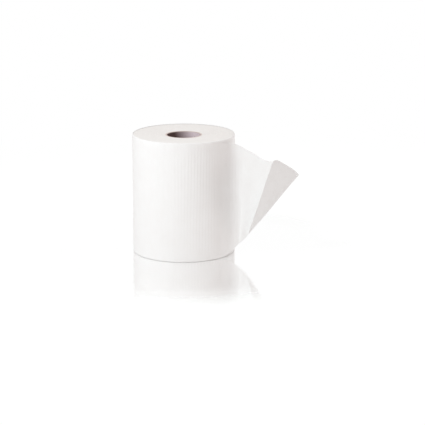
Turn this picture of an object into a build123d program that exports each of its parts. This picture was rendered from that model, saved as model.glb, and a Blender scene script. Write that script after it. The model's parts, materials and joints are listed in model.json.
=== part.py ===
from build123d import *
from math import cos, radians, sin
import os

# A hand towel roll: one web of creped paper wound on a cardboard tube. It stands on its end, and the loose
# end of the paper is pulled off the right-hand side, with its tip curled forward.
# Millimetres. The origin is on the roll's axis at its base, +Z is up and the front of the roll faces -Y.

# Roll
roll_diameter = 155.0
sheet_width = 180.0
rim_rounding = 1.5

# Cardboard tube, level with the paper at the base and a little below it at the rim
core_bore = 50.8
core_wall = 1.3
core_length = 178.0

# Loose end. It leaves the outermost turn along an upright line, a little inside both ends of the roll.
# The angle is measured from the front of the roll towards +X, and the root is sunk under the outermost turn.
sheet_thickness = 0.3
strips_per_span = 3
root_depth = 0.8
root_angle = 48.0
root_inset_top = 4.8
root_inset_low = 2.5

# Straight lines across the loose end, from its upper edge to its lower edge, in order from the roll to the
# free edge. The paper flares off the roll, bends to face the front, droops, and curls forward over itself.
# Between each line and the next it is made of a few straight strips.
flare_line = ((63.2, -46.3, 174.1), (63.8, -46.3, 4.2))
bend_line = ((69.8, -41.0, 172.8), (70.9, -41.0, 7.6))
spread_line = ((76.5, -38.4, 171.3), (77.9, -38.5, 13.7))
float_line = ((95.0, -40.0, 162.7), (85.4, -37.9, 20.3))
droop_line = ((109.3, -44.0, 155.3), (90.6, -37.9, 25.1))
level_line = ((120.6, -48.5, 149.3), (94.0, -38.1, 29.0))
run_line = ((130.3, -53.0, 147.5), (96.1, -38.4, 31.6))
before_curl_line = ((161.6, -70.5, 135.7), (97.6, -38.8, 33.6))
curl_line = ((169.8, -78.0, 132.9), (98.2, -39.5, 34.8))
after_curl_line = ((164.0, -85.0, 140.4), (97.9, -40.5, 35.6))
flap_line = ((147.2, -98.0, 154.4), (97.4, -41.5, 36.0))
free_edge_line = ((131.8, -109.0, 165.2), (96.9, -42.3, 36.2))

roll_radius = roll_diameter / 2
core_bore_radius = core_bore / 2
core_outer_radius = core_bore_radius + core_wall


def under_outer_turn(angle, height):
    """A point sunk under the outermost turn, at an angle round from the front of the roll"""
    radius = roll_radius - root_depth
    return (radius * sin(radians(angle)), -radius * cos(radians(angle)), height)


def shares_of_length(points):
    """How far along a run of points each one lies, from 0 to 1"""
    reached = [0.0]
    for start, end in zip(points, points[1:]):
        reached.append(reached[-1] + (end - start).length)
    return [distance / reached[-1] for distance in reached]


root_line = (
    under_outer_turn(root_angle, sheet_width - root_inset_top),
    under_outer_turn(root_angle, root_inset_low),
)
sheet_lines = [
    root_line,
    flare_line,
    bend_line,
    spread_line,
    float_line,
    droop_line,
    level_line,
    run_line,
    before_curl_line,
    curl_line,
    after_curl_line,
    flap_line,
    free_edge_line,
]

# Middle surface of the loose end: paper bends but doesn't stretch, so it is ruled straight between its edges
upper_points = [Vector(line[0]) for line in sheet_lines]
lower_points = [Vector(line[1]) for line in sheet_lines]
shares = shares_of_length(upper_points)
middle_surface = Face.make_surface_from_curves(
    Edge.make_spline(upper_points, parameters=shares),
    Edge.make_spline(lower_points, parameters=shares),
)


def strip_stations():
    """Places along the sheet, as shares of its upper edge, where one straight strip meets the next"""
    stations = [0.0]
    for span_start, span_end in zip(shares, shares[1:]):
        for strip in range(1, strips_per_span + 1):
            stations.append(span_start + (span_end - span_start) * strip / strips_per_span)
    return stations


def section_corners(station):
    """Corners of the sheet cut across at one place: front upper, front lower, back lower, back upper"""
    corners = []
    for height, side in ((0, 1), (1, 1), (1, -1), (0, -1)):
        point = middle_surface.position_at(station, height)
        normal = middle_surface.normal_at(station, height)
        corners.append(point + normal * (side * sheet_thickness / 2))
    return corners


# The sheet's two sides and its two long edges are strips, and they close into one thin solid with its two ends
sections = [section_corners(station) for station in strip_stations()]
sheet_faces = []
for section, next_section in zip(sections, sections[1:]):
    for corner in range(4):
        following = (corner + 1) % 4
        near_line = Edge.make_line(section[corner], section[following])
        far_line = Edge.make_line(next_section[corner], next_section[following])
        sheet_faces.append(Face.make_surface_from_curves(near_line, far_line))
for section in (sections[0], sections[-1]):
    front_line = Edge.make_line(section[0], section[1])
    back_line = Edge.make_line(section[3], section[2])
    sheet_faces.append(Face.make_surface_from_curves(front_line, back_line))
loose_end = Solid(Shell(sheet_faces))

# Paper: the wound turns are a ring with soft outer edges, and the loose end grows out of the outermost turn
with BuildPart() as towel_web:
    with BuildSketch(Plane.XZ) as ring_section:
        with Locations(((core_outer_radius + roll_radius) / 2, sheet_width / 2)):
            Rectangle(roll_radius - core_outer_radius, sheet_width)
        fillet(ring_section.vertices().group_by(Axis.X)[-1], radius=rim_rounding)
    revolve(axis=Axis.Z)
    add(loose_end)
towel_web.part.label = "towel_web"

# Cardboard tube that the first turn is glued to
with BuildPart() as core_tube:
    with BuildSketch(Plane.XY):
        Circle(core_outer_radius)
        Circle(core_bore_radius, mode=Mode.SUBTRACT)
    extrude(amount=core_length)
core_tube.part.label = "core_tube"

os.makedirs("parts", exist_ok=True)
export_step(towel_web.part, "parts/towel_web.step")
export_step(core_tube.part, "parts/core_tube.step")
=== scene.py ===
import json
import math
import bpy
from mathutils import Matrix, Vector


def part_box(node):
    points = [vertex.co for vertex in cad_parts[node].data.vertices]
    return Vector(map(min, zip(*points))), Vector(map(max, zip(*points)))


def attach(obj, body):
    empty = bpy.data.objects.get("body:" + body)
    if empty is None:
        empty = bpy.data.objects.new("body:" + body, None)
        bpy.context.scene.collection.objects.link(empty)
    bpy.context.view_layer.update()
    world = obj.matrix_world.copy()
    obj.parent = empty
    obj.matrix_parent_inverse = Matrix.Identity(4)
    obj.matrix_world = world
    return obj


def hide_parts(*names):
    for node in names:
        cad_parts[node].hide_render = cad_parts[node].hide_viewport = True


bl_info = {
    "name": "Hand Towel Roll",
    "version": (1, 0, 0),
    "blender": (4, 5, 0),
    "location": "View3D > Sidebar > Towel Roll",
    "description": "Makes the wound paper, the loose sheet, the cardboard tube and a plain white studio",
    "category": "Add Mesh",
}

import bpy
import numpy as np
from bpy.props import FloatProperty, FloatVectorProperty, IntProperty, PointerProperty
from mathutils import Vector

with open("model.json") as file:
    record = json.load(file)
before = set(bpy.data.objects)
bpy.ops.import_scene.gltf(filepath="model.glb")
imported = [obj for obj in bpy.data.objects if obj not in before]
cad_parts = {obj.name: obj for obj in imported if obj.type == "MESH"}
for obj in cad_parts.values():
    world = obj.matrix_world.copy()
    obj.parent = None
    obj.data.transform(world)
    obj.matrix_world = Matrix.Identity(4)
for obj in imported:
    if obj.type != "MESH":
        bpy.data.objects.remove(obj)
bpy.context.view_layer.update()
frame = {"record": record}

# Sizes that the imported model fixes, in metres
paper_low, paper_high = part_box("towel_web")
tube_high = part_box("core_tube")[1]
record_mounts = {mount["name"]: mount for mount in frame["record"]["mounts"]}
tube_bore_radius = record_mounts["core_bore"]["dims"]["r_mm"] / 1000

# Straight lines across the loose end, from its upper edge to its lower edge, in millimetres, in order from
# the roll to the free edge
flare_line = ((63.2, -46.3, 174.1), (63.8, -46.3, 4.2))
bend_line = ((69.8, -41.0, 172.8), (70.9, -41.0, 7.6))
spread_line = ((76.5, -38.4, 171.3), (77.9, -38.5, 13.7))
float_line = ((95.0, -40.0, 162.7), (85.4, -37.9, 20.3))
droop_line = ((109.3, -44.0, 155.3), (90.6, -37.9, 25.1))
level_line = ((120.6, -48.5, 149.3), (94.0, -38.1, 29.0))
run_line = ((130.3, -53.0, 147.5), (96.1, -38.4, 31.6))
before_curl_line = ((161.6, -70.5, 135.7), (97.6, -38.8, 33.6))
curl_line = ((169.8, -78.0, 132.9), (98.2, -39.5, 34.8))
after_curl_line = ((164.0, -85.0, 140.4), (97.9, -40.5, 35.6))
flap_line = ((147.2, -98.0, 154.4), (97.4, -41.5, 36.0))
free_edge_line = ((131.8, -109.0, 165.2), (96.9, -42.3, 36.2))
loose_lines = np.array(
    [
        flare_line,
        bend_line,
        spread_line,
        float_line,
        droop_line,
        level_line,
        run_line,
        before_curl_line,
        curl_line,
        after_curl_line,
        flap_line,
        free_edge_line,
    ]
)


# The tube's cut ends, across its wall from the bore: places as shares of the wall, and how far the board
# has drawn back at each, in metres, with a step at each ply
ply_shares = np.array([0.22, 0.3, 0.36, 0.42, 0.64, 0.7, 0.76, 0.94, 1.0])
ply_drops = np.array([0.0, 0.02, 0.16, 0.02, 0.0, 0.14, 0.02, 0.05, 0.3]) / 1000

# Name of the sheet's flat map, the bend in radians past which an edge stays crisp, and plain white
flat_map = "flat_sheet"
crisp_angle = 0.9
pure_white = (1.0, 1.0, 1.0, 1.0)


class RollSizes(bpy.types.PropertyGroup):
    """Sizes of the wound paper and the tube"""

    radius: FloatProperty(
        name="Roll radius",
        description="Outside of the outermost turn",
        default=-paper_low.x,
        unit="LENGTH",
    )
    width: FloatProperty(
        name="Paper width",
        description="Width of the paper, which is the height of the standing roll",
        default=paper_high.z,
        unit="LENGTH",
    )
    tube_radius: FloatProperty(
        name="Tube radius",
        description="Outside of the cardboard tube, where the first turn lies",
        default=tube_high.x,
        unit="LENGTH",
    )
    bore_radius: FloatProperty(
        name="Bore radius",
        description="Inside of the cardboard tube",
        default=tube_bore_radius,
        unit="LENGTH",
    )
    tube_length: FloatProperty(
        name="Tube length",
        description="Length of the cardboard tube, from the floor up",
        default=tube_high.z,
        unit="LENGTH",
    )
    seam_pitch: FloatProperty(
        name="Seam pitch",
        description="Height that the tube's spiral seam climbs in one turn",
        default=0.105,
        unit="LENGTH",
    )
    rim_softness: FloatProperty(
        name="Rim softness",
        description="Radius by which the outer turns round over at both ends",
        default=0.0015,
        unit="LENGTH",
    )
    visible_layers: IntProperty(
        name="Visible layers",
        description="Bands of turns that stand out on the end faces",
        default=42,
    )
    inner_slip: FloatProperty(
        name="Inner slip",
        description="Radial width of the inner turns that dip down to the end of the tube",
        default=0.012,
        unit="LENGTH",
    )
    # Width of the tan band that the code puts on the first turns of paper next to the tube
    tan_band_width: FloatProperty(
        name="Glued width",
        description="Radial width of the first turns, which the glue and the board tint",
        default=0.0022,
        unit="LENGTH",
    )
    layer_relief: FloatProperty(
        name="Layer relief",
        description="How far bands of turns stand above or below each other on the end faces",
        default=0.0003,
        unit="LENGTH",
    )


class SheetSizes(bpy.types.PropertyGroup):
    """Sizes of the outermost turn and the loose end"""

    thickness: FloatProperty(
        name="Sheet thickness",
        description="Thickness of the creped paper",
        default=0.0003,
        unit="LENGTH",
    )
    leaves_at: FloatProperty(
        name="Leaves the roll at",
        description="Angle from the front of the roll where the paper lifts off",
        default=math.radians(45.0),
        subtype="ANGLE",
    )
    tucked_under: FloatProperty(
        name="Tucked under",
        description="Angle by which the turn starts under itself, past one full turn",
        default=math.radians(25.0),
        subtype="ANGLE",
    )
    upper_sag: FloatProperty(
        name="Upper edge sag",
        description="How far the paper's upper edge has slipped below the rim where it lifts off",
        default=0.0041,
        unit="LENGTH",
    )
    lower_rise: FloatProperty(
        name="Lower edge rise",
        description="How far the paper's lower edge has risen off the floor where it lifts off",
        default=0.0024,
        unit="LENGTH",
    )
    corner_radius: FloatProperty(
        name="Corner radius",
        description="Rounding of the upper corner of the free edge",
        default=0.01,
        unit="LENGTH",
    )
    free_edge_bow: FloatProperty(
        name="Free edge bow",
        description="How far the free edge bows in along its lower part",
        default=0.003,
        unit="LENGTH",
    )
    waviness: FloatProperty(
        name="Waviness",
        description="Height of the slow waves in the loose end",
        default=0.0003,
        unit="LENGTH",
    )
    ribs_per_turn: IntProperty(
        name="Ribs per turn",
        description="Upright ribs of the crepe round one turn",
        default=103,
    )
    rib_height: FloatProperty(
        name="Rib height",
        description="From the bottom of the tallest ribs to their top",
        default=0.00016,
        unit="LENGTH",
    )
    loose_ribs: FloatProperty(
        name="Ribs on the loose end",
        description="Share of their height that the ribs keep where the paper is loose",
        default=0.4,
        subtype="FACTOR",
        min=0.0,
        max=1.0,
    )


class FinishColours(bpy.types.PropertyGroup):
    """Colours of the paper, the board and the floor"""

    paper: FloatVectorProperty(
        name="Paper",
        description="Bleached paper on the side of the roll and the loose end",
        default=(0.87, 0.87, 0.87),
        size=3,
        subtype="COLOR",
        min=0.0,
        max=1.0,
    )
    # Painted shade: a darker copy of the paper for the crepe's folds and between the rings on the end
    # faces; it also gives the slow mottle
    paper_painted_shade_and_mottle: FloatVectorProperty(
        name="Paper in the folds",
        description="The same paper down in the folds of the crepe",
        default=(0.82, 0.80, 0.79),
        size=3,
        subtype="COLOR",
        min=0.0,
        max=1.0,
    )
    layer_edges: FloatVectorProperty(
        name="Layer edges",
        description="Cut edges of the turns on the end faces",
        default=(0.835, 0.823, 0.807),
        size=3,
        subtype="COLOR",
        min=0.0,
        max=1.0,
    )
    # Painted light: the board is given a pale colour for the lit side of the tube's inside
    board: FloatVectorProperty(
        name="Board",
        description="Grey-brown board of the tube",
        default=(0.78, 0.67, 0.71),
        size=3,
        subtype="COLOR",
        min=0.0,
        max=1.0,
    )
    # Painted shade: the dark side of the tube's inside, where the light does not reach; the dark specks use
    # this colour too
    board_painted_shade_and_specks: FloatVectorProperty(
        name="Dark board",
        description="The same board on the darkest side of the tube",
        default=(0.11, 0.07, 0.066),
        size=3,
        subtype="COLOR",
        min=0.0,
        max=1.0,
    )
    # Cut ends of the tube, and the colour of the tan band on the first turns of paper next to the tube
    board_ends: FloatVectorProperty(
        name="Board ends",
        description="Cut ends of the tube, and the first turns that are glued to it",
        default=(0.69, 0.6, 0.56),
        size=3,
        subtype="COLOR",
        min=0.0,
        max=1.0,
    )
    floor: FloatVectorProperty(
        name="Floor",
        description="Plain pale floor",
        default=(0.92, 0.92, 0.92),
        size=3,
        subtype="COLOR",
        min=0.0,
        max=1.0,
    )


class StudioSettings(bpy.types.PropertyGroup):
    """Light and camera of the plain studio"""

    key_power: FloatProperty(
        name="Key power",
        description="Power of the large lamp in front on the left",
        default=30.2,
        unit="POWER",
    )
    key_colour: FloatVectorProperty(
        name="Key colour",
        description="Colour of the large lamp",
        default=(0.88, 0.976, 1.0),
        size=3,
        subtype="COLOR",
        min=0.0,
        max=1.0,
    )
    side_power: FloatProperty(
        name="Side power",
        description="Power of the low soft lamp on the right",
        default=2.6,
        unit="POWER",
    )
    rear_power: FloatProperty(
        name="Rear power",
        description="Power of the soft lamp behind on the right",
        default=10.0,
        unit="POWER",
    )
    key_azimuth: FloatProperty(
        name="Key azimuth",
        description="How far left of the front the lamp stands",
        default=math.radians(43.0),
        subtype="ANGLE",
    )
    key_elevation: FloatProperty(
        name="Key elevation",
        description="How high the lamp stands",
        default=math.radians(45.0),
        subtype="ANGLE",
    )
    fill: FloatVectorProperty(
        name="Fill light",
        description="Even light from all round",
        default=(0.505, 0.432, 0.408),
        size=3,
        subtype="COLOR",
        min=0.0,
        max=1.0,
    )
    camera_distance: FloatProperty(
        name="Camera distance",
        description="From the camera to the point it looks at",
        default=2.5,
        unit="LENGTH",
    )
    camera_elevation: FloatProperty(
        name="Camera elevation",
        description="How far the camera looks down",
        default=math.radians(13.96),
        subtype="ANGLE",
    )
    camera_target: FloatVectorProperty(
        name="Camera target",
        description="Point in the middle of the picture",
        default=(0.0433, 0.0, 0.0573),
        size=3,
        subtype="XYZ",
        unit="LENGTH",
    )
    lens: FloatProperty(
        name="Lens",
        description="Focal length in millimetres on a 36 mm sensor",
        default=139.4,
    )


class Shade:
    """A socket in a node tree. Sums on it add Math nodes, and node() adds any other node."""

    def __init__(self, tree, socket=None):
        self.tree = tree
        self.socket = socket

    def node(self, kind, settings, inputs, output=0):
        added = self.tree.nodes.new(kind)
        for name, value in settings.items():
            setattr(added, name, value)
        for name, value in inputs.items():
            if isinstance(value, Shade):
                self.tree.links.new(value.socket, added.inputs[name])
            else:
                added.inputs[name].default_value = value
        if not len(added.outputs):
            return None
        return Shade(self.tree, added.outputs[output])

    def maths(self, operation, first, second=0.0):
        return self.node("ShaderNodeMath", {"operation": operation}, {0: first, 1: second})

    def __add__(self, other):
        return self.maths("ADD", self, other)

    def __radd__(self, other):
        return self.maths("ADD", other, self)

    def __sub__(self, other):
        return self.maths("SUBTRACT", self, other)

    def __rsub__(self, other):
        return self.maths("SUBTRACT", other, self)

    def __mul__(self, other):
        return self.maths("MULTIPLY", self, other)

    def __rmul__(self, other):
        return self.maths("MULTIPLY", other, self)

    def __truediv__(self, other):
        return self.maths("DIVIDE", self, other)

    def __rtruediv__(self, other):
        return self.maths("DIVIDE", other, self)

    def sine(self):
        return self.maths("SINE", self)

    def part(self, axis):
        return self.node("ShaderNodeSeparateXYZ", {}, {"Vector": self}, axis)

    def length(self):
        return self.node("ShaderNodeVectorMath", {"operation": "LENGTH"}, {0: self}, "Value")

    def noise(self, place, scale, detail, roughness=0.5):
        inputs = {"Vector": place, "Scale": scale, "Detail": detail, "Roughness": roughness}
        return self.node("ShaderNodeTexNoise", {}, inputs)

    def place(self, x, y, z=0.0):
        return self.node("ShaderNodeCombineXYZ", {}, {"X": x, "Y": y, "Z": z})

    def blend(self, share, first, second):
        inputs = {0: share, 6: first, 7: second}
        return self.node("ShaderNodeMix", {"data_type": "RGBA", "clamp_factor": True}, inputs, 2)

    def fade(self, value, start, end, start_value, end_value, kind="LINEAR"):
        inputs = {
            "Value": value,
            "From Min": start,
            "From Max": end,
            "To Min": start_value,
            "To Max": end_value,
        }
        return self.node("ShaderNodeMapRange", {"interpolation_type": kind}, inputs)

    def bump(self, height, distance, strength):
        inputs = {"Height": height, "Distance": distance, "Strength": strength}
        return self.node("ShaderNodeBump", {}, inputs)

    def matt(self, colour, roughness, normal, specular):
        inputs = {
            "Base Color": colour,
            "Roughness": roughness,
            "Normal": normal,
            "Specular IOR Level": specular,
        }
        return self.node("ShaderNodeBsdfPrincipled", {}, inputs)

    def finish(self, surface):
        self.node("ShaderNodeOutputMaterial", {}, {"Surface": surface})


def new_material(name):
    """An empty material and the start of its node tree"""
    material = bpy.data.materials.new(name)
    material.use_nodes = True
    material.node_tree.nodes.clear()
    return material, Shade(material.node_tree)


def opaque(colour, times=1.0):
    """A colour's red, green and blue, multiplied by a number, and full alpha"""
    return (colour[0] * times, colour[1] * times, colour[2] * times, 1.0)


def creped_paper(colours):
    """White creped paper: fine folds with painted shade in them, and slow cloudiness"""
    fold_width = 0.0009
    fold_length = 0.012
    fold_height = 0.00008
    painted_fold_shade = 0.45
    cloud_width = 0.018
    cloud_length = 0.024
    cloud_contrast = 0.5
    least_roughness = 0.84
    roughness_spread = 0.12
    material, shade = new_material("creped_paper")
    flat = shade.node("ShaderNodeUVMap", {"uv_map": flat_map}, {})
    along = flat.part("X")
    across = flat.part("Y")
    fold_place = shade.place(along / fold_width, across / fold_length)
    folds = shade.noise(fold_place, scale=1.0, detail=3.0, roughness=0.6)
    cloud_place = shade.place(along / cloud_width, across / cloud_length)
    clouds = shade.noise(cloud_place, scale=1.0, detail=3.0)
    # The folds get painted shade, and the clouds give the paper's own mottle
    painted_shade_and_mottle = (1 - folds) * painted_fold_shade + (clouds - 0.5) * cloud_contrast
    colour = shade.blend(painted_shade_and_mottle, opaque(colours.paper), opaque(colours.paper_painted_shade_and_mottle))
    roughness = least_roughness + folds * roughness_spread
    normal = shade.bump(folds, distance=fold_height, strength=0.8)
    shade.finish(shade.matt(colour, roughness, normal, specular=0.2))
    return material


def layer_edges(colours, roll):
    """Ends of the wound turns: fine rings of cut paper with painted shade between them, warmer than the
    side and tan next to the tube
    """
    ring_width = 0.00042
    ring_height = 0.00022
    ring_wander = 3.0
    ring_variety = 2.0
    painted_ring_shade = 0.6
    ring_share = 0.7
    fuzz_share = 0.3
    cloud_contrast = 0.6
    tan_band_strength = 0.9
    least_roughness = 0.86
    roughness_spread = 0.12
    material, shade = new_material("wound_layer_edges")
    place = shade.node("ShaderNodeTexCoord", {}, {}, "Object")
    ground = shade.place(place.part("X"), place.part("Y"))
    radius = ground.length()
    drift = shade.noise(ground, scale=22.0, detail=2.0)
    ring_place = shade.place(radius / ring_width + drift * ring_wander, drift * ring_variety)
    rings = shade.noise(ring_place, scale=1.0, detail=2.0, roughness=0.7)
    fuzz = shade.noise(ground, scale=1400.0, detail=2.0, roughness=0.7)
    clouds = shade.noise(ground, scale=45.0, detail=3.0)
    # Painted shade between the rings, and the paper's own mottle
    painted_shade_and_mottle = (1 - rings) * painted_ring_shade + (clouds - 0.5) * cloud_contrast
    paper = shade.blend(painted_shade_and_mottle, opaque(colours.layer_edges), opaque(colours.paper_painted_shade_and_mottle))
    tan_band_end = roll.tube_radius + roll.tan_band_width
    # The first turns next to the tube are tinted tan, fading outwards
    tan_band = shade.fade(radius, roll.tube_radius, tan_band_end, tan_band_strength, 0.0)
    colour = shade.blend(tan_band, paper, opaque(colours.board_ends))
    roughness = least_roughness + fuzz * roughness_spread
    relief = rings * ring_share + fuzz * fuzz_share
    normal = shade.bump(relief, distance=ring_height, strength=0.7)
    shade.finish(shade.matt(colour, roughness, normal, specular=0.15))
    return material


def tube_board(colours, roll):
    """Grey-brown board with painted light and shade that drifts round the tube, pale on one side and dark
    on the other, with fibres, dark specks and tan cut ends
    """
    # Fibres per metre, and the turn per metre of height of the painted shade's drift, in radians
    fibres_across = 900.0
    fibres_upright = 260.0
    painted_shade_twist = 12.0
    painted_shade_start = 1.92
    painted_shade_contrast = 0.9
    painted_shade_level = 0.35
    fibre_height = 0.00018
    fibre_start = 0.4
    fibre_contrast = 1.2
    fibre_share = 0.7
    mottle_share = 0.3
    speck_start = 0.68
    speck_contrast = 6.0
    cut_start = 0.0004
    cut_end = 0.0009
    least_roughness = 0.72
    roughness_spread = 0.2
    material, shade = new_material("tube_board")
    place = shade.node("ShaderNodeTexCoord", {}, {}, "Object")
    x = place.part("X")
    y = place.part("Y")
    height = place.part("Z")
    fibre_place = shade.place(x * fibres_across, y * fibres_across, height * fibres_upright)
    fibres = shade.noise(fibre_place, scale=1.0, detail=4.0, roughness=0.65)
    mottle = shade.noise(place, scale=60.0, detail=3.0)
    specks = shade.noise(place, scale=700.0, detail=1.0)
    angle = shade.maths("ARCTAN2", x, 0.0 - y)
    # The drift paints light and shade: the board is dark on one side of the tube's inside and pale on the
    # other
    drift = (angle - height * painted_shade_twist + painted_shade_start).sine() * painted_shade_contrast + painted_shade_level
    board_painted_shading = shade.blend(drift, opaque(colours.board_painted_shade_and_specks), opaque(colours.board))
    pale_fibres_painted_shading = shade.blend(drift, opaque(colours.board_painted_shade_and_specks, times=1.8), opaque(colours.board, times=1.15))
    fibres_and_painted_shading = shade.blend((fibres - fibre_start) * fibre_contrast, board_painted_shading, pale_fibres_painted_shading)
    speck = (specks - speck_start) * speck_contrast
    speckled = shade.blend(speck, fibres_and_painted_shading, opaque(colours.board_painted_shade_and_specks, times=0.7))
    to_end = shade.maths("MINIMUM", height, roll.tube_length - height)
    cut = shade.fade(to_end, cut_start, cut_end, 1.0, 0.0)
    colour = shade.blend(cut, speckled, opaque(colours.board_ends))
    roughness = least_roughness + fibres * roughness_spread
    relief = fibres * fibre_share + mottle * mottle_share
    normal = shade.bump(relief, distance=fibre_height, strength=0.7)
    shade.finish(shade.matt(colour, roughness, normal, specular=0.25))
    return material


def rays_that_show(shade):
    """1 for rays from the camera, a reflection or glass, which see the white studio, and 0 for its light"""
    seen = shade.node("ShaderNodeLightPath", {}, {}, "Is Camera Ray")
    mirrored = shade.node("ShaderNodeLightPath", {}, {}, "Is Glossy Ray")
    through = shade.node("ShaderNodeLightPath", {}, {}, "Is Transmission Ray")
    return shade.maths("MINIMUM", seen + mirrored + through, 1.0)


def studio_floor(colours):
    """White floor with the shadow near the roll, and a gloss that fades outwards"""
    gloss_start = 0.19
    gloss_end = 0.34
    gloss_share = 0.93
    gloss_roughness = 0.1
    shadow_start = 0.35
    shadow_end = 0.9
    shadow_grey = (0.42, 0.42, 0.42, 1.0)
    lift_colour = (0.97, 1.0, 1.0, 1.0)
    lift_strength = 0.66
    material, shade = new_material("studio_floor")
    seen = rays_that_show(shade)
    from_axis = shade.node("ShaderNodeTexCoord", {}, {}, "Object").length()
    shine = shade.fade(from_axis, gloss_start, gloss_end, gloss_share, 0.0, "SMOOTHSTEP")
    distant = shade.fade(from_axis, shadow_start, shadow_end, 0.0, 1.0, "SMOOTHSTEP")
    lit = shade.node("ShaderNodeBsdfDiffuse", {}, {"Color": opaque(colours.floor)})
    shadowed = shade.node("ShaderNodeBsdfDiffuse", {}, {"Color": shadow_grey})
    lift = shade.node("ShaderNodeEmission", {}, {"Color": lift_colour, "Strength": lift_strength})
    white = shade.node("ShaderNodeEmission", {}, {"Color": pure_white, "Strength": 1.0})
    nearby = shade.node("ShaderNodeAddShader", {}, {0: shadowed, 1: lift})
    shown = shade.node("ShaderNodeMixShader", {}, {0: distant, 1: nearby, 2: white})
    matt = shade.node("ShaderNodeMixShader", {}, {0: seen, 1: lit, 2: shown})
    gloss = shade.node("ShaderNodeBsdfGlossy", {}, {"Color": pure_white, "Roughness": gloss_roughness})
    shade.finish(shade.node("ShaderNodeMixShader", {}, {0: seen * shine, 1: matt, 2: gloss}))
    return material


def grid_faces(columns, rows, first=0, closed=False):
    """Four-sided faces over a grid of points that is stored column by column"""
    faces = []
    for column in range(columns if closed else columns - 1):
        here = first + column * rows
        there = first + ((column + 1) % columns) * rows
        for row in range(rows - 1):
            faces.append((here + row, there + row, there + row + 1, here + row + 1))
    return faces


def flipped(faces):
    """The same faces, looking the other way"""
    return [tuple(reversed(face)) for face in faces]


def sheet_faces(columns, rows):
    """Faces of a thin closed sheet: its front, its back on a second grid of points, and its four edges"""
    back = columns * rows
    faces = grid_faces(columns, rows)
    faces += flipped(grid_faces(columns, rows, back))
    for column in range(columns - 1):
        low = column * rows
        next_low = low + rows
        high = low + rows - 1
        next_high = next_low + rows - 1
        faces.append((low, back + low, back + next_low, next_low))
        faces.append((high, next_high, back + next_high, back + high))
    last = (columns - 1) * rows
    for row in range(rows - 1):
        end = last + row
        faces.append((row, row + 1, back + row + 1, back + row))
        faces.append((end, back + end, back + end + 1, end + 1))
    return faces


def new_piece(name, points, faces, material):
    """A smooth-shaded mesh object in the scene"""
    mesh = bpy.data.meshes.new(name)
    mesh.from_pydata([tuple(point) for point in points], [], faces)
    mesh.materials.append(material)
    mesh.shade_smooth()
    mesh.set_sharp_from_angle(angle=crisp_angle)
    mesh.validate()
    piece = bpy.data.objects.new(name, mesh)
    bpy.context.scene.collection.objects.link(piece)
    return piece


def lay_flat(piece, along, across):
    """Map both sides of a sheet as it would lie flat, in metres"""
    flat = np.stack([along, across], axis=-1).reshape(-1, 2)
    flat = np.concatenate([flat, flat])
    layer = piece.data.uv_layers.new(name=flat_map)
    corners = np.zeros(len(piece.data.loops), dtype=np.int64)
    piece.data.loops.foreach_get("vertex_index", corners)
    layer.data.foreach_set("uv", flat[corners].astype(np.float32).ravel())


def quarter_round(distance, radius):
    """How far a rounded edge has drawn in, at a distance from its end"""
    from_end = np.clip(distance, 0.0, radius)
    return radius - np.sqrt(radius**2 - (radius - from_end) ** 2)


def smooth_step(share):
    """A rise from 0 to 1 that starts and ends level"""
    share = np.clip(share, 0.0, 1.0)
    return share * share * (3 - 2 * share)


def smooth_curve(knots, shares, first_slope, places):
    """Points at places along smooth cubic curves through rows of knots, which leave with first_slope"""
    count = len(shares)
    gaps = np.diff(shares)
    steps = np.diff(knots, axis=0) / gaps[:, None, None]
    system = np.zeros((count, count))
    target = np.zeros_like(knots)
    system[0, 0] = 1.0
    target[0] = first_slope
    for knot in range(1, count - 1):
        system[knot, knot - 1] = gaps[knot]
        system[knot, knot] = 2 * (gaps[knot - 1] + gaps[knot])
        system[knot, knot + 1] = gaps[knot - 1]
        target[knot] = 3 * (gaps[knot] * steps[knot - 1] + gaps[knot - 1] * steps[knot])
    system[-1, -2] = 1.0
    system[-1, -1] = 2.0
    target[-1] = 3 * steps[-1]
    slopes = np.linalg.solve(system, target.reshape(count, -1)).reshape(knots.shape)
    span = np.clip(np.searchsorted(shares, places, side="right") - 1, 0, count - 2)
    gap = gaps[span][:, None, None]
    share = ((places - shares[span]) / gaps[span])[:, None, None]
    rest = 1 - share
    start_part = knots[span] * (1 + 2 * share) + slopes[span] * gap * share
    end_part = knots[span + 1] * (1 + 2 * rest) - slopes[span + 1] * gap * rest
    return start_part * rest**2 + end_part * share**2


def roll_point(angle, radius, height):
    """A point at an angle round from the front of the roll towards its right-hand side"""
    return np.stack([radius * np.sin(angle), -radius * np.cos(angle), height], axis=-1)


def lengths_along(grid, axis):
    """Distances of the points of a grid from its first column or row, measured along the grid"""
    steps = np.linalg.norm(np.diff(grid, axis=axis), axis=-1)
    start = np.zeros_like(np.take(steps, [0], axis=axis))
    return np.concatenate([start, np.cumsum(steps, axis=axis)], axis=axis)


def grid_normals(grid):
    """Unit normals of a grid of points, facing away from the roll's axis on the wound turn"""
    along = np.gradient(grid, axis=0)
    upward = np.gradient(grid, axis=1)
    normal = np.cross(along, upward)
    return normal / np.linalg.norm(normal, axis=-1, keepdims=True)


def ripple(angle, height, waves, start, lean):
    """A whole number of waves round the roll, which lean as they climb"""
    return np.sin(waves * angle + start + lean * height)


def slow_bulge(angle, height):
    """Slight unevenness of the wound roll, the same after each full turn"""
    bulge_height = 0.00012
    swell = 0.5 * ripple(angle, height, waves=3, start=0.6, lean=9.0)
    wobble = 0.3 * ripple(angle, height, waves=7, start=2.1, lean=-14.0)
    streaks = 0.2 * ripple(angle, height, waves=19, start=4.0, lean=5.0)
    return bulge_height * (swell + wobble + streaks)


def crepe_ribs(sheet, angle, height):
    """Uneven upright ribs of the crepe, the same after each full turn"""
    sway = 1.4 * ripple(angle, height, waves=2, start=1.3, lean=11.0)
    shiver = 0.9 * ripple(angle, height, waves=5, start=0.4, lean=-17.0)
    strength = 0.65 + 0.35 * ripple(angle, height, waves=2, start=0.0, lean=6.0)
    return sheet.rib_height / 2 * strength * np.sin(sheet.ribs_per_turn * angle + sway + shiver)


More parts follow.
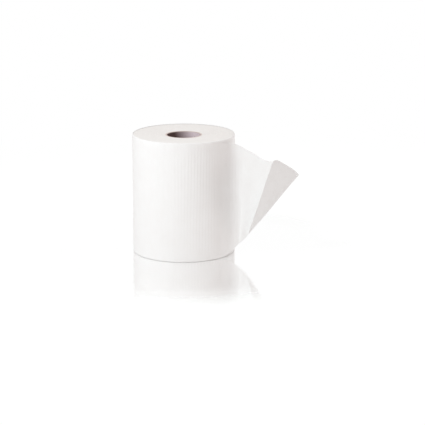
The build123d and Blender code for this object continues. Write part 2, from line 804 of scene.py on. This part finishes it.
def row_heights(width, softness, middle_rows):
    """Heights of the sheet's rows, closer together at both ends"""
    rim_rows = 5
    turn = np.linspace(0.0, math.pi / 2, rim_rows)
    end_heights = softness * (1 - np.cos(turn))
    middle_heights = np.linspace(softness, width - softness, middle_rows)
    return np.concatenate([end_heights[:-1], middle_heights, width - end_heights[-2::-1]])


def outer_turn_grid(roll, sheet, heights):
    """Middle of the outermost turn, column by column, up to where it leaves the roll"""
    columns = 660
    slip_angle = math.radians(17.0)
    # The turn is drawn in by this much, so that its bulges and ribs stay inside the roll's radius
    drawn_in = 0.00022
    tucked_start = sheet.leaves_at - math.tau - sheet.tucked_under
    angle = np.linspace(tucked_start, sheet.leaves_at, columns)[:, None] + np.zeros_like(heights)
    slipping = np.clip((angle - sheet.leaves_at) / slip_angle + 1, 0.0, 1.0) ** 2
    sag = sheet.upper_sag * slipping
    rise = sheet.lower_rise * slipping
    height = rise + heights / roll.width * (roll.width - sag - rise)
    radius = roll.radius - sheet.thickness / 2 - sheet.thickness * (sheet.leaves_at - angle) / math.tau
    radius = radius - quarter_round(np.minimum(height, roll.width - height), roll.rim_softness)
    radius = radius + slow_bulge(angle, height) + crepe_ribs(sheet, angle, height) - drawn_in
    return roll_point(angle, radius, height)


def loose_end_grid(roll, sheet, heights, lift_off):
    """Middle of the loose end, column by column, from where it leaves the roll to its free edge"""
    main_columns = 230
    corner_columns = 7
    bow_start = 0.8
    bow_crossing = 0.72
    bow_peak = 0.088
    up = (heights / roll.width)[None, :, None]
    upper = loose_lines[:, 0][:, None, :] / 1000
    lower = loose_lines[:, 1][:, None, :] / 1000
    knots = np.concatenate([lift_off[None], lower + (upper - lower) * up])
    reached = np.linalg.norm(np.diff(knots[:, -1], axis=0), axis=1)
    length = reached.sum()
    shares = np.concatenate([[0.0], np.cumsum(reached) / length])
    direction = np.array([math.cos(sheet.leaves_at), math.sin(sheet.leaves_at), 0.0])
    speed = np.linalg.norm(knots[1] - knots[0], axis=-1, keepdims=True) / shares[1]
    corner_share = sheet.corner_radius / length
    main_places = np.linspace(0.0, 1 - corner_share, main_columns)[1:]
    corner_turn = np.linspace(0.0, math.pi / 2, corner_columns)[1:]
    corner_places = 1 - corner_share + corner_share * np.sin(corner_turn)
    places = np.concatenate([main_places, corner_places])
    grid = smooth_curve(knots, shares, direction * speed, places)

    # The upper corner of the free edge is rounded by drawing the last columns down
    drop = quarter_round((1 - places) * length, sheet.corner_radius)
    across = grid[:, -1] - grid[:, 0]
    kept = 1 - drop / np.linalg.norm(across, axis=1)
    rounded = grid[:, :1] + across[:, None] * (up * kept[:, None, None])
    near_corner = (places >= 1 - corner_share)[:, None, None]
    grid = np.where(near_corner, rounded, grid)

    # The free edge bows in along its lower part, and a little out above it
    onward = np.gradient(grid, axis=0)
    onward = onward / np.linalg.norm(onward, axis=-1, keepdims=True)
    late = np.clip((places - bow_start) / (1 - bow_start), 0.0, 1.0)[:, None, None] ** 2
    bow = up * (1 - up) * (up - bow_crossing) / bow_peak
    return grid + onward * (sheet.free_edge_bow * late * bow), places


def loose_relief(roll, sheet, heights, places, unrolled):
    """Slow waves and easing ribs of the loose end, measured along its normals"""
    waves_start = 0.15
    waves_rise = 0.4
    long_count = 2.3
    long_lean = 0.7
    short_count = 4.7
    short_lean = 1.3
    short_share = 0.6
    ease_length = 0.04
    up = (heights / roll.width)[None, :]
    away = places[:, None]
    free = np.clip((away - waves_start) / waves_rise, 0.0, 1.0)
    long_waves = np.sin(math.tau * (long_count * away + long_lean * up))
    short_waves = short_share * np.sin(math.tau * (short_count * away - short_lean * up))
    eased = 1 - (1 - sheet.loose_ribs) * np.clip(unrolled / ease_length, 0.0, 1.0)
    ribs = crepe_ribs(sheet, sheet.leaves_at + unrolled / roll.radius, heights[None, :])
    return sheet.waviness * free * free * (long_waves + short_waves) + eased * ribs


def end_face_fall(roll, angle, radius, outer):
    """How far an end face lies below level: bands of turns, a slight dish and the soft rim"""
    level_share = 0.6
    dish_depth = 0.0002
    dish_waves = 190.0
    dish_tilt = 0.7
    dish_turn = 0.4
    spare_bands = 3
    seeded = np.random.RandomState(11)
    band_levels = seeded.uniform(0.0, 1.0, roll.visible_layers + spare_bands)
    turn = (radius - roll.tube_radius) / (outer - roll.tube_radius) * roll.visible_layers
    turn = turn - angle / math.tau + 1.0
    band = np.floor(turn).astype(int)
    step = smooth_step((turn - band - level_share) / (1 - level_share))
    level = band_levels[band] * (1 - step) + band_levels[band + 1] * step
    dish = 0.5 + 0.5 * np.sin(radius * dish_waves + dish_tilt * np.sin(angle + dish_turn))
    return roll.layer_relief * level + dish_depth * dish + quarter_round(outer - radius, roll.rim_softness)


def tube_angles(roll, seam_width):
    """Angles of the tube's columns: evenly spaced ones, and closer ones on both sides of the seam"""
    even_columns = 120
    even = np.linspace(0.0, math.tau, even_columns, endpoint=False)
    beside_seam = np.array([-1.6, -1.0, -0.6, -0.3, 0.3, 0.6, 1.0, 1.6]) * seam_width / roll.bore_radius
    return np.sort(np.concatenate([even, np.mod(beside_seam, math.tau)]))


def tube_wall(roll, angles, seam_width, rows):
    """Inner wall of the tube, column by column up its spiral, with the groove and the lap of its seam"""
    seam_depth = 0.00022
    seam_sharpness = 2.5
    lap_height = 0.00012
    lap_angle = 0.5
    heights = np.linspace(0.0, roll.tube_length, rows)
    angle, height = np.meshgrid(angles, heights, indexing="ij")
    from_seam = np.minimum(angle, math.tau - angle) * roll.bore_radius / seam_width
    groove = seam_depth * np.exp(-(from_seam**2) * seam_sharpness)
    lap = lap_height * np.clip(1 - angle / lap_angle, 0.0, 1.0)
    spiral = angle + math.tau * height / roll.seam_pitch
    return roll_point(spiral, roll.bore_radius + groove - lap, height).reshape(-1, 3)


def tube_end(roll, angles, end_height, inward):
    """One cut end of the tube, column by column across its wall, with a step at each ply"""
    wall = roll.tube_radius - roll.bore_radius
    end_angle = angles + math.tau * end_height / roll.seam_pitch
    ring_angle = end_angle[:, None] + np.zeros_like(ply_shares)
    ring_radius = roll.bore_radius + wall * ply_shares + np.zeros_like(ring_angle)
    ring_height = end_height + inward * ply_drops + np.zeros_like(ring_angle)
    return roll_point(ring_angle, ring_radius, ring_height).reshape(-1, 3)


def tube_end_faces(columns, wall_rows, edge_row, first):
    """Faces of a cut end whose points begin at first, and those that join it to the inner wall"""
    plies = len(ply_shares)
    faces = grid_faces(columns, plies, first, closed=True)
    for column in range(columns):
        after = (column + 1) % columns
        wall_here = column * wall_rows + edge_row
        wall_after = after * wall_rows + edge_row
        ring_here = first + column * plies
        ring_after = first + after * plies
        faces.append((wall_here, wall_after, ring_after, ring_here))
    return faces


def studio_light(studio):
    """A world that looks white and gives the roll its even fill light"""
    world = bpy.data.worlds.new("studio_light")
    world.use_nodes = True
    world.node_tree.nodes.clear()
    shade = Shade(world.node_tree)
    colour = shade.blend(rays_that_show(shade), opaque(studio.fill), pure_white)
    background = shade.node("ShaderNodeBackground", {}, {"Color": colour, "Strength": 1.0})
    shade.node("ShaderNodeOutputWorld", {}, {"Surface": background})
    return world


def studio_camera(studio):
    """A camera in front of the roll that looks down at it"""
    lens = bpy.data.cameras.new("camera")
    lens.sensor_fit = "HORIZONTAL"
    lens.sensor_width = 36.0
    lens.lens = studio.lens
    camera = bpy.data.objects.new("camera", lens)
    back = studio.camera_distance * math.cos(studio.camera_elevation)
    rise = studio.camera_distance * math.sin(studio.camera_elevation)
    camera.location = Vector(studio.camera_target) + Vector((0.0, -back, rise))
    camera.rotation_euler = (math.pi / 2 - studio.camera_elevation, 0.0, 0.0)
    bpy.context.scene.collection.objects.link(camera)
    return camera


def soft_lamp(name, azimuth, elevation, reach, size, power, colour):
    """A square lamp that looks at the middle of the roll, from an angle left of its front"""
    middle = Vector((0.03, 0.0, 0.09))
    level = math.cos(elevation)
    outward = Vector((-math.sin(azimuth) * level, -math.cos(azimuth) * level, math.sin(elevation)))
    light = bpy.data.lights.new(name, "AREA")
    light.shape = "SQUARE"
    light.size = size
    light.energy = power
    light.color = colour
    lamp = bpy.data.objects.new(name, light)
    lamp.location = middle + outward * reach
    lamp.rotation_euler = outward.to_track_quat("Z", "Y").to_euler()
    bpy.context.scene.collection.objects.link(lamp)


class TOWEL_OT_wound_turns(bpy.types.Operator):
    """Make the wound turns, with the edges of their layers on both end faces"""

    bl_idname = "towel.wound_turns"
    bl_label = "Wound Turns"

    def execute(self, context):
        roll = context.scene.towel_roll
        sheet = context.scene.towel_sheet
        spokes = 160
        rings_per_layer = 5
        # Room for the outermost turn and the start that is tucked under it, with their bulges and ribs
        covering_layers = 2.2
        covering_room = 0.00046
        rings = roll.visible_layers * rings_per_layer
        outer = roll.radius - covering_layers * sheet.thickness - covering_room
        angles = np.linspace(0.0, math.tau, spokes, endpoint=False)
        radii = np.linspace(roll.tube_radius, outer, rings)
        angle, radius = np.meshgrid(angles, radii, indexing="ij")
        fall = end_face_fall(roll, angle, radius, outer)
        dip = smooth_step(1 - (radius - roll.tube_radius) / roll.inner_slip)
        top_fall = fall + (roll.width - roll.tube_length) * dip
        top = roll_point(angle, radius, roll.width - top_fall).reshape(-1, 3)
        base = roll_point(angle, radius, fall[::-1]).reshape(-1, 3)
        count = spokes * rings
        faces = flipped(grid_faces(spokes, rings, closed=True))
        faces += grid_faces(spokes, rings, count, closed=True)
        for spoke in range(spokes):
            here = spoke * rings
            there = ((spoke + 1) % spokes) * rings
            outer_here = here + rings - 1
            outer_there = there + rings - 1
            faces.append((count + outer_here, count + outer_there, outer_there, outer_here))
            faces.append((here, there, count + there, count + here))
        edges = layer_edges(context.scene.towel_colours, roll)
        piece = new_piece("wound_turns", np.concatenate([top, base]), faces, edges)
        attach(piece, "root")
        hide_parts("towel_web")
        return {"FINISHED"}


class TOWEL_OT_outer_sheet(bpy.types.Operator):
    """Make the outermost turn and the loose end as one sheet of creped paper"""

    bl_idname = "towel.outer_sheet"
    bl_label = "Outer Sheet"

    def execute(self, context):
        roll = context.scene.towel_roll
        sheet = context.scene.towel_sheet
        middle_rows = 28
        heights = row_heights(roll.width, roll.rim_softness, middle_rows)
        turn_grid = outer_turn_grid(roll, sheet, heights)
        loose_grid, places = loose_end_grid(roll, sheet, heights, turn_grid[-1])
        unrolled = lengths_along(np.concatenate([turn_grid[-1:], loose_grid]), 0)[1:]
        relief = loose_relief(roll, sheet, heights, places, unrolled)
        loose_normals = grid_normals(np.concatenate([turn_grid[-2:], loose_grid]))[2:]
        grid = np.concatenate([turn_grid, loose_grid + loose_normals * relief[..., None]])
        normals = grid_normals(grid)
        front = grid + normals * (sheet.thickness / 2)
        back = grid - normals * (sheet.thickness / 2)
        points = np.concatenate([front.reshape(-1, 3), back.reshape(-1, 3)])
        columns, rows = grid.shape[:2]
        paper = creped_paper(context.scene.towel_colours)
        piece = new_piece("outer_sheet", points, sheet_faces(columns, rows), paper)
        along = lengths_along(grid, 0)
        across = lengths_along(grid, 1) + grid[:, :1, 2]
        lay_flat(piece, along, across)
        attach(piece, "root")
        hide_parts("towel_web")
        return {"FINISHED"}


class TOWEL_OT_core_board(bpy.types.Operator):
    """Make the spiral-wound cardboard tube, with the seam of its inner ply"""

    bl_idname = "towel.core_board"
    bl_label = "Cardboard Tube"

    def execute(self, context):
        roll = context.scene.towel_roll
        seam_width = 0.0009
        wall_rows = 91
        plies = len(ply_shares)
        angles = tube_angles(roll, seam_width)
        columns = len(angles)
        points = [tube_wall(roll, angles, seam_width, wall_rows)]
        faces = flipped(grid_faces(columns, wall_rows, closed=True))

        # The lower end faces down, and the upper end has the same faces turned over
        outer_rings = []
        for end_height, inward, edge_row in ((0.0, 1.0, 0), (roll.tube_length, -1.0, wall_rows - 1)):
            first = sum(len(block) for block in points)
            points.append(tube_end(roll, angles, end_height, inward))
            end_faces = tube_end_faces(columns, wall_rows, edge_row, first)
            faces += end_faces if inward > 0 else flipped(end_faces)
            outer_rings.append([first + column * plies + plies - 1 for column in range(columns)])

        # The spiral turns the upper end past the lower one, so the outer wall joins points at like angles
        low_ring, high_ring = outer_rings
        turned = math.tau * roll.tube_length / roll.seam_pitch
        start = int(np.argmin(np.mod(angles + turned, math.tau)))
        high_ring = high_ring[start:] + high_ring[:start]
        for column in range(columns):
            after = (column + 1) % columns
            faces.append((low_ring[column], low_ring[after], high_ring[after], high_ring[column]))
        board = tube_board(context.scene.towel_colours, roll)
        piece = new_piece("core_board", np.concatenate(points), faces, board)
        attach(piece, "root")
        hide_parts("core_tube")
        return {"FINISHED"}


class TOWEL_OT_studio(bpy.types.Operator):
    """Make the plain floor, the light and the camera"""

    bl_idname = "towel.studio"
    bl_label = "Studio"

    def execute(self, context):
        scene = context.scene
        studio = scene.towel_studio
        half = 8.0
        corners = [(-half, -half, 0.0), (half, -half, 0.0), (half, half, 0.0), (-half, half, 0.0)]
        floor = new_piece("studio_floor", corners, [(0, 1, 2, 3)], studio_floor(scene.towel_colours))
        scene.world = studio_light(studio)
        scene.camera = studio_camera(studio)
        scene.view_settings.view_transform = "Standard"
        soft_lamp(
            "key_lamp",
            azimuth=studio.key_azimuth,
            elevation=studio.key_elevation,
            reach=2.2,
            size=0.6,
            power=studio.key_power,
            colour=studio.key_colour,
        )
        soft_lamp(
            "side_lamp",
            azimuth=math.radians(-82.0),
            elevation=math.radians(9.0),
            reach=1.6,
            size=0.7,
            power=studio.side_power,
            colour=pure_white[:3],
        )
        soft_lamp(
            "rear_lamp",
            azimuth=math.radians(-125.0),
            elevation=math.radians(25.0),
            reach=1.8,
            size=0.9,
            power=studio.rear_power,
            colour=studio.key_colour,
        )
        return {"FINISHED"}


class TOWEL_PT_panel(bpy.types.Panel):
    """Lists the sizes, the colours, the light and the steps that make the roll"""

    bl_idname = "TOWEL_PT_panel"
    bl_label = "Hand Towel Roll"
    bl_space_type = "VIEW_3D"
    bl_region_type = "UI"
    bl_category = "Towel Roll"

    def draw(self, context):
        scene = context.scene
        for group in (scene.towel_roll, scene.towel_sheet, scene.towel_colours, scene.towel_studio):
            box = self.layout.box()
            for name in group.__annotations__:
                box.prop(group, name)
        for operator in (TOWEL_OT_wound_turns, TOWEL_OT_outer_sheet, TOWEL_OT_core_board, TOWEL_OT_studio):
            self.layout.operator(operator.bl_idname)


classes = (
    RollSizes,
    SheetSizes,
    FinishColours,
    StudioSettings,
    TOWEL_OT_wound_turns,
    TOWEL_OT_outer_sheet,
    TOWEL_OT_core_board,
    TOWEL_OT_studio,
    TOWEL_PT_panel,
)


def register():
    for member in classes:
        bpy.utils.register_class(member)
    bpy.types.Scene.towel_roll = PointerProperty(type=RollSizes)
    bpy.types.Scene.towel_sheet = PointerProperty(type=SheetSizes)
    bpy.types.Scene.towel_colours = PointerProperty(type=FinishColours)
    bpy.types.Scene.towel_studio = PointerProperty(type=StudioSettings)


def unregister():
    del bpy.types.Scene.towel_studio
    del bpy.types.Scene.towel_colours
    del bpy.types.Scene.towel_sheet
    del bpy.types.Scene.towel_roll
    for member in reversed(classes):
        bpy.utils.unregister_class(member)


def main():
    register()
    bpy.ops.towel.wound_turns()
    bpy.ops.towel.outer_sheet()
    bpy.ops.towel.core_board()
    bpy.ops.towel.studio()


if __name__ == "__main__":
    main()
